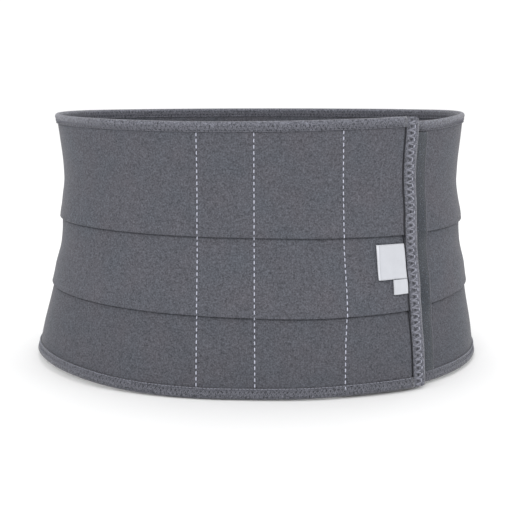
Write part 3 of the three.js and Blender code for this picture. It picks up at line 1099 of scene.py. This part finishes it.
# %% Sew the edges of the tapes, the bands and the loop strip
SEAM_PITCH = 3.0 * MM
SEAM_LENGTH = 2.3 * MM
SEAM_RADIUS = 0.2 * MM
TOP_SEAM_AT = RIM_TAPE - 0.6 * MM
TOP_SEAM_RADIUS = 0.26 * MM
HEM_SEAM_AT = HEM_TAPE - 0.5 * MM
HEM_SEAM_RADIUS = 0.36 * MM
PILE_SEAM_IN = 1.3 * MM  # from the strip's shown edge
PILE_SEAM_START = HEM_TAPE + 4 * MM
PILE_SEAM_STOP = HEIGHT - RIM_TAPE - 6 * MM
PILE_SEAM_RADIUS = 0.36 * MM


def seam_stitches(edge, above):
    """Straight stitches along an edge, at a height above it."""
    along = arc_lengths(WHOLE, edge(WHOLE), ELASTIC)
    place = np.arange(0, along[-1] - SEAM_LENGTH, SEAM_PITCH)
    starts = np.interp(place, along, WHOLE)
    ends = np.interp(place + SEAM_LENGTH, along, WHOLE)
    return (np.stack([starts, edge(starts) + above], axis=-1),
            np.stack([ends, edge(ends) + above], axis=-1))


def band_outside(share, z):
    """The outside of a band in the line that its edge stitches press."""
    return ELASTIC + STEP + wave(share, z) - PRESSED


def pile_outside(share, z):
    return loop_faces(share, z)[1]


def pile_seam_stitches():
    """Stitches along the loop strip's shown edge."""
    low = np.arange(PILE_SEAM_START, PILE_SEAM_STOP, SEAM_PITCH)
    high = low + SEAM_LENGTH
    ends = []
    for z in (low, high):
        angle = further(outer_end(z) - 360, z, LOOP_SHOWN - PILE_SEAM_IN)
        ends.append(np.stack([share_at(angle, z), z], axis=-1))
    return ends


pile_seam = stitches("pile_seam", *pile_seam_stitches(), pile_outside, PILE_SEAM_RADIUS)
top_tape_seam = stitches(
    "top_tape_seam", *seam_stitches(rim_height, -TOP_SEAM_AT), tape_outside, TOP_SEAM_RADIUS)
hem_tape_seam = stitches(
    "hem_tape_seam", *seam_stitches(hem_height, HEM_SEAM_AT), tape_outside, HEM_SEAM_RADIUS)
upper_seam = stitches(
    "upper_seam_stitches", *seam_stitches(upper_edge, PRESSED_AT), band_outside, SEAM_RADIUS,
    "elastic")
lower_seam = stitches(
    "lower_seam_stitches", *seam_stitches(lower_edge, PRESSED_AT), band_outside, SEAM_RADIUS,
    "elastic")

# %% [markdown]

# %% [markdown]
# ## Shader sums
# A pattern is easier to read as a sum than as a web of nodes. The small class below wraps a socket,
# so that plus, minus and times lay the Math nodes.

# %% Shader helper


class Signal:
    """A shader socket that can be used in sums."""

    def __init__(self, finish, socket):
        self.finish = finish
        self.socket = socket

    def _math(self, operation, first, second):
        return self.finish.node("ShaderNodeMath", {"operation": operation}, {0: first, 1: second})

    def __add__(self, other):
        return self._math("ADD", self, other)

    def __sub__(self, other):
        return self._math("SUBTRACT", self, other)

    def __rsub__(self, other):
        return self._math("SUBTRACT", other, self)

    def __mul__(self, other):
        return self._math("MULTIPLY", self, other)

    def __pow__(self, other):
        return self._math("POWER", self, other)

    def __gt__(self, other):
        return self._math("GREATER_THAN", self, other)

    __radd__ = __add__
    __rmul__ = __mul__


class Finish:
    """A material and the nodes that make it."""

    def __init__(self, name):
        self.material = bpy.data.materials.new(name)
        self.material.use_nodes = True
        self.tree = self.material.node_tree
        self.shader = self.tree.nodes["Principled BSDF"]

    def put(self, socket, value):
        if isinstance(value, Signal):
            self.tree.links.new(value.socket, socket)
        else:
            socket.default_value = value

    def node(self, kind, settings, inputs, output=0):
        """Adds a node with its settings, then its sockets, and gives back one output."""
        new = self.tree.nodes.new(kind)
        for name, value in settings.items():
            setattr(new, name, value)
        for key, value in inputs.items():
            self.put(new.inputs[key], value)
        return Signal(self, new.outputs[output])

    def mix(self, share, first, second):
        """A colour between two others."""
        return self.node(
            "ShaderNodeMix", {"data_type": "RGBA"}, {0: share, 6: first, 7: second}, output=2)

    def noise(self, where, scale, detail=2.0, roughness=0.5):
        return self.node(
            "ShaderNodeTexNoise", {},
            {"Vector": where, "Scale": scale, "Detail": detail, "Roughness": roughness})

    def bump(self, height, distance, strength=1.0):
        return self.node(
            "ShaderNodeBump", {}, {"Height": height, "Distance": distance, "Strength": strength})

    def surface(self, colour, roughness, normal=None, **constants):
        """Feeds the shader; each constant is named for its socket, with _ for a space."""
        self.put(self.shader.inputs["Base Color"], colour)
        self.put(self.shader.inputs["Roughness"], roughness)
        if normal is not None:
            self.put(self.shader.inputs["Normal"], normal)
        for name, value in constants.items():
            self.put(self.shader.inputs[name.replace("_", " ")], value)


def grey(level, share=1.0, blue=0.08, red=-0.01):
    """A scene-linear colour from a level that the eye sees, 0 to 255, times a share.

    blue and red are how much the level is raised in those two colours."""
    parts = [level * (1 + red), level, level * (1 + blue)]
    return (*[share * ((p / 255 + 0.055) / 1.055) ** 2.4 for p in parts], 1.0)


print("Middle grey in scene light:", round(grey(100)[1], 3))

# %% [markdown]
# ## The elastic
# Close up the elastic is a dense knit with a short brushed nap: rows of tiny loops about a
# millimetre apart, blurred by fluff, and slightly mottled. The rows follow the cloth's own UV map,
# and the mottle is noise. A thin sheen gives the pale rim that such cloth has at its outline.

# %% Finish the elastic
KNIT_PITCH = 1.1 * MM
NAP_SIZE = 1.3 * MM
MOTTLE_SIZE = 2.4 * MM
CLOUD_SIZE = 30 * MM  # faint patches, a little cooler and a little warmer
CLOUD_CONTRAST = 2.2
# The painted shade line beside the outer end's tape: its place, width and darkness.
SHADE_LINE_AT = 0.8 * MM  # from the end tape's edge, under the tape
SHADE_LINE_WIDTH = 1.1 * MM
SHADE_LINE_DARKNESS = 0.75
DARK = 0.1  # shares of a grey level's light at the two ends of a mottle
PALE = 1.9


def wave_lines(finish, coordinate, pitch):
    """Soft ridges across a coordinate, from 0 to 1."""
    turns = finish.node("ShaderNodeMath", {"operation": "MULTIPLY"},
                        {0: coordinate, 1: 2 * math.pi / pitch})
    sine = finish.node("ShaderNodeMath", {"operation": "SINE"}, {0: turns})
    return sine * 0.5 + 0.5


def flat_places(finish):
    """The place on the flat cloth, along and up, and the place in space."""
    coordinates = finish.node("ShaderNodeTexCoord", {}, {}, output="UV")
    space = finish.node("ShaderNodeTexCoord", {}, {}, output="Object")
    along = finish.node("ShaderNodeSeparateXYZ", {}, {0: coordinates}, output="X")
    up = finish.node("ShaderNodeSeparateXYZ", {}, {0: coordinates}, output="Y")
    return along, up, space


def mottled(finish, space, sizes):
    """Noise of several sizes added up, about 0.5; sizes gives each size and its strength."""
    tone = 0.5
    for size, strength in sizes:
        speckle = finish.noise(space, 1 / size, detail=3.0, roughness=0.65)
        tone = speckle * strength + (tone - strength / 2)
    return tone


def near(value, place, width):
    """1 where a value is at a place, falling to 0 a few widths away."""
    away = (value - place) * (1 / width)
    return (away * away + 1.0) ** -3.0


def elastic_finish(name, level):
    """Knit and nap, with a painted shade line beside the outer end's tape."""
    finish = Finish(name)
    along, up, space = flat_places(finish)
    knit = wave_lines(finish, along, KNIT_PITCH) * wave_lines(finish, up, KNIT_PITCH)
    tone = mottled(finish, space, [(NAP_SIZE, 1.35), (MOTTLE_SIZE, 0.45)]) + knit * 0.08
    cloud = finish.noise(space, 1 / CLOUD_SIZE) * CLOUD_CONTRAST - (CLOUD_CONTRAST - 1) / 2
    warmer = grey(level, PALE, blue=0.07, red=0.008)
    light = finish.mix(cloud, warmer, grey(level, PALE, blue=0.08, red=-0.03))
    # Painted shade: a narrow dark line on the elastic, just under the edge of the outer end's tape.
    painted_shade_line = near(along, BELT_LENGTH + SHADE_LINE_AT, SHADE_LINE_WIDTH) * SHADE_LINE_DARKNESS
    colour = finish.mix(painted_shade_line, finish.mix(tone, grey(level, DARK), light), grey(level, 0.15))
    nap = finish.noise(space, 1 / NAP_SIZE, detail=3.0, roughness=0.7)
    relief = finish.bump(knit * 0.4 + nap * 0.6, distance=0.3 * MM, strength=0.8)
    finish.surface(colour, roughness=0.92, normal=relief, Sheen_Weight=0.22, Sheen_Roughness=0.3,
                   Specular_IOR_Level=0.2)
    return finish.material


ELASTIC_LEVELS = [
    # piece, grey level
    (top_band, 85),
    (middle_band, 85),
    (lower_band, 82),
]
for piece, level in ELASTIC_LEVELS:
    piece.data.materials.append(elastic_finish(piece.name + "_elastic", level))
for seam in (upper_seam, lower_seam):
    seam.data.materials.append(elastic_finish(seam.name + "_thread", 93))
print("Elastic finishes:", len(ELASTIC_LEVELS))

# %% [markdown]
# ## Tape and thread
# The binding tape is woven tighter and reads a little paler. The zigzag's needle holes are small
# dark points where its threads turn, and on the end tape the threads pull wider dark hollows. The
# hem tape's fold is darkened with painted shade.

# %% Finish the tapes and threads
RIB_PITCH = 0.8 * MM
TAPE_SPECKS = [(1.0 * MM, 1.8), (1.7 * MM, 1.5)]  # size and strength
TAPE_NAP = 1.0 * MM
FIBRE_SIZE = 0.5 * MM
SINE_TOP = 0.25  # of a turn, where a sine is highest
HOLE_SHARPNESS = 7.0
HOLLOW_SHARPNESS = 3.0
HOLE_WIDTH = 1.0 * MM
HOLLOW_WIDTH = 2.2 * MM
HOLE_DARKNESS = 0.85
FOLD_SHADE_WIDTH = 4.0 * MM


def needle_holes(finish, along, across, pitch, holes):
    """Dark points in the zigzag; holes gives their place across, phase, width and sharpness."""
    dark = 0.0
    for place, phase, width, sharpness in holes:
        row = wave_lines(finish, along - pitch * (phase - SINE_TOP), pitch) ** sharpness
        dark = row * near(across, place, width) + dark
    return dark


def tape_finish(name, level, pitch, start, holes, fold=0.0, painted_fold_shade=0.0):
    """Woven tape. Where fold is given, the holes lie alike on both sides of that line."""
    finish = Finish(name)
    along, across, space = flat_places(finish)
    rib = wave_lines(finish, along, RIB_PITCH)
    from_fold = across
    if fold:
        from_fold = finish.node("ShaderNodeMath", {"operation": "ABSOLUTE"}, {0: across - fold})
    dark = needle_holes(finish, along - start, from_fold, pitch, holes)
    # Painted shade: the tape is darkened along its fold, which on the hem is the underside by the
    # floor.
    shade = near(from_fold, 0.0, FOLD_SHADE_WIDTH) * painted_fold_shade
    tone = mottled(finish, space, TAPE_SPECKS) + (rib - 0.5) * 0.12
    woven = finish.mix(tone, grey(level, DARK), grey(level, PALE))
    woven = finish.mix(shade, woven, grey(level, 0.2))
    colour = finish.mix(dark * HOLE_DARKNESS, woven, grey(level, 0.12))
    nap = finish.noise(space, 1 / TAPE_NAP, detail=3.0, roughness=0.7)
    relief = finish.bump(nap * 0.5 + rib * 0.3 - dark, distance=0.4 * MM, strength=0.9)
    finish.surface(colour, roughness=0.88, normal=relief, Sheen_Weight=0.3, Sheen_Roughness=0.45,
                   Specular_IOR_Level=0.25)
    return finish.material


def thread_finish(name, level):
    finish = Finish(name)
    space = finish.node("ShaderNodeTexCoord", {}, {}, output="Object")
    fibre = finish.noise(space, 1 / FIBRE_SIZE, roughness=0.6)
    colour = finish.mix(fibre, grey(level, 0.6), grey(level, 1.4))
    relief = finish.bump(fibre, distance=0.1 * MM, strength=0.6)
    finish.surface(
        colour, roughness=0.6, normal=relief, Sheen_Weight=0.2, Specular_IOR_Level=0.35)
    return finish.material


LONG_TAPES = [
    # piece, grey level, length of a leg, how much painted shade darkens its fold
    (top_tape, 102, RIM_TAPE, 0.0),
    (hem_tape, 94, HEM_TAPE, 0.95),
]
HALF_THICK = (ELASTIC + 2 * LEG) / 2
for piece, level, length, painted_fold_shade in LONG_TAPES:
    to_edge = length - HALF_THICK + HALF_THICK * math.pi / 2
    holes = [(to_edge - (length - ZIGZAG_FAR), 0.0, HOLE_WIDTH, HOLE_SHARPNESS),
             (to_edge - (length - ZIGZAG_NEAR), 0.5, HOLE_WIDTH, HOLE_SHARPNESS)]
    weave = tape_finish(
        piece.name + "_weave", level, ZIGZAG_PITCH, 0.0, holes, to_edge, painted_fold_shade)
    piece.data.materials.append(weave)
END_HOLES = [(END_LEG - END_HOLLOW, 0.5, HOLLOW_WIDTH, HOLLOW_SHARPNESS)]
for piece, level in ((outer_end_tape, 101), (inner_end_tape, 95)):
    weave = tape_finish(piece.name + "_weave", level, END_PITCH, END_START, END_HOLES)
    piece.data.materials.append(weave)
THREADS = [
    # name, grey level, the seams that are sewn with it
    ("tape_thread", 106, [top_zigzag, top_zigzag_inside, hem_zigzag, hem_zigzag_inside,
                          pile_seam, top_tape_seam]),
    ("bright_thread", 130, [hem_tape_seam, outer_zigzag, inner_zigzag]),
    # Partly painted highlight: the ridge's stitches are real, and their extra paleness stands for
    # light on the bulging ridge.
    ("ridge_thread_highlight", 160, [outer_ridge]),
    ("pale_thread", 188, [pale_lines, pale_lines_inside]),
]
for name, level, seams in THREADS:
    thread = thread_finish(name, level)
    for seam in seams:
        seam.data.materials.append(thread)
print("Kinds of thread:", len(THREADS))

# %% [markdown]
# ## Pile, hooks and labels
# The pile strip is brushed loops: mottled, with a few paler specks and a woven edge that a painted
# highlight makes paler. Beside the outer end its loops get a painted shadow. The hook strip gets the
# same finish, a little paler. The labels are woven satin, with a crease where the cloth is turned
# in, marked by a thin line of painted shade.

# %% Finish the pile, the hooks and the labels
PILE_CLUMPS = [(0.9 * MM, 0.9), (2.0 * MM, 0.5)]  # size and strength
PILE_LOOP = 0.9 * MM
SPECK_SIZE = 1.5 * MM
SPECK_FROM = 0.68  # of the noise's range
SATIN_PITCH = 0.5 * MM
HAZE_SIZE = 6 * MM
SATIN_BLUE = 0.03
SPECK_LEVEL = 140
SPECK_SHARE = 0.4
PILE_TINT = {"blue": 0.12, "red": -0.06}  # of the specks and the woven edge
# Painted shadow on the pile beside the outer end: its width and darkness.
PILE_SHADOW_WIDTH = 3.4 * MM
PILE_SHADOW_DARKNESS = 0.7
# The pile's woven edge, paler partly as a painted highlight: its width, strength and paleness.
SELVAGE_AND_HIGHLIGHT_WIDTH = 0.8 * MM
SELVAGE_AND_HIGHLIGHT_SHARE = 0.8
SELVAGE_AND_HIGHLIGHT_PALER = 42  # levels
LABEL_HEM = 5.6 * MM  # round the fold and on to the crease
DOUBLED_PALER = 20  # levels
# The painted shade line along a label's crease: its width and darkness.
CREASE_SHADE_WIDTH = 0.8 * MM
CREASE_SHADE_DARKNESS = 0.3


def pile_finish(name, level, width):
    """Fluffy loops with pale specks, a woven edge made paler by a painted highlight,
    and a painted shadow beside the outer end.
    """
    finish = Finish(name)
    along, _, space = flat_places(finish)
    tone = mottled(finish, space, PILE_CLUMPS)
    specks = finish.noise(space, 1 / SPECK_SIZE, detail=1.0) > SPECK_FROM
    loops = finish.mix(tone, grey(level, DARK), grey(level, PALE, blue=0.13, red=-0.08))
    # Painted shadow: the loops darken next to the outer end, where its tape shades them.
    painted_pile_shadow = near(along, width - LOOP_SHOWN, PILE_SHADOW_WIDTH) * PILE_SHADOW_DARKNESS
    # Partly painted highlight: the paler woven edge also stands for light caught on the strip's
    # raised edge.
    edge = near(along, width - SELVAGE_AND_HIGHLIGHT_WIDTH, SELVAGE_AND_HIGHLIGHT_WIDTH) * SELVAGE_AND_HIGHLIGHT_SHARE
    colour = finish.mix(specks * SPECK_SHARE, loops, grey(SPECK_LEVEL, **PILE_TINT))
    colour = finish.mix(edge, colour, grey(level + SELVAGE_AND_HIGHLIGHT_PALER, **PILE_TINT))
    colour = finish.mix(painted_pile_shadow, colour, grey(level, 0.3))
    fluff = finish.noise(space, 1 / PILE_LOOP, detail=3.0, roughness=0.8)
    relief = finish.bump(fluff, distance=0.6 * MM)
    finish.surface(colour, roughness=0.95, normal=relief, Sheen_Weight=0.3, Sheen_Roughness=0.5,
                   Specular_IOR_Level=0.15)
    return finish.material


def label_finish(name, level, crease_at):
    """White satin; the turned-in strip beside the fold is doubled and so a little brighter, and a
    painted shade line darkens the crease.
    """
    finish = Finish(name)
    along, up, space = flat_places(finish)
    satin = wave_lines(finish, up, SATIN_PITCH)
    haze = finish.noise(space, 1 / HAZE_SIZE)
    single = finish.mix(satin * 0.3 + haze * 0.7, grey(level, 0.93, SATIN_BLUE),
                        grey(level, 1.07, SATIN_BLUE))
    doubled = grey(level + DOUBLED_PALER, blue=SATIN_BLUE)
    colour = finish.mix(along > crease_at, doubled, single)
    # Painted shade: a thin dark line along the crease.
    painted_crease_shade = near(along, crease_at, CREASE_SHADE_WIDTH) * CREASE_SHADE_DARKNESS
    colour = finish.mix(painted_crease_shade, colour, grey(level, 0.3))
    relief = finish.bump(satin, distance=0.05 * MM, strength=0.4)
    finish.surface(
        colour, roughness=0.5, normal=relief, Sheen_Weight=0.1, Specular_IOR_Level=0.4)
    return finish.material


loop_width = max(corner.uv[0] for corner in loop_pile.data.uv_layers[0].data)
loop_pile.data.materials.append(pile_finish("loop_pile_fluff", 57, loop_width))
hook_tape.data.materials.append(pile_finish("hook_tape_hooks", 66, HOOK_WIDTH))
for piece, crease_at in ((side_label, LABEL_WIDTH + LABEL_HEM), (size_tag, TAG_WIDTH)):
    piece.data.materials.append(label_finish(piece.name + "_satin", 193, crease_at))
print("Closure and labels finished")

# %% [markdown]
# ## The floor's finish
# The floor is a plain matt white with only a trace of unevenness.

# %% Finish the floor
FLOOR_WHITES = [(0.89, 0.89, 0.89, 1.0), (0.92, 0.92, 0.92, 1.0)]
FLOOR_PATCHES = 3.0  # a metre
FLOOR_ROUGHNESS = 0.9

paint = Finish("floor_paint")
place = paint.node("ShaderNodeTexCoord", {}, {}, output="Object")
paint.surface(paint.mix(paint.noise(place, FLOOR_PATCHES), *FLOOR_WHITES), FLOOR_ROUGHNESS)
floor.data.materials.append(paint.material)
print("Floor finished")
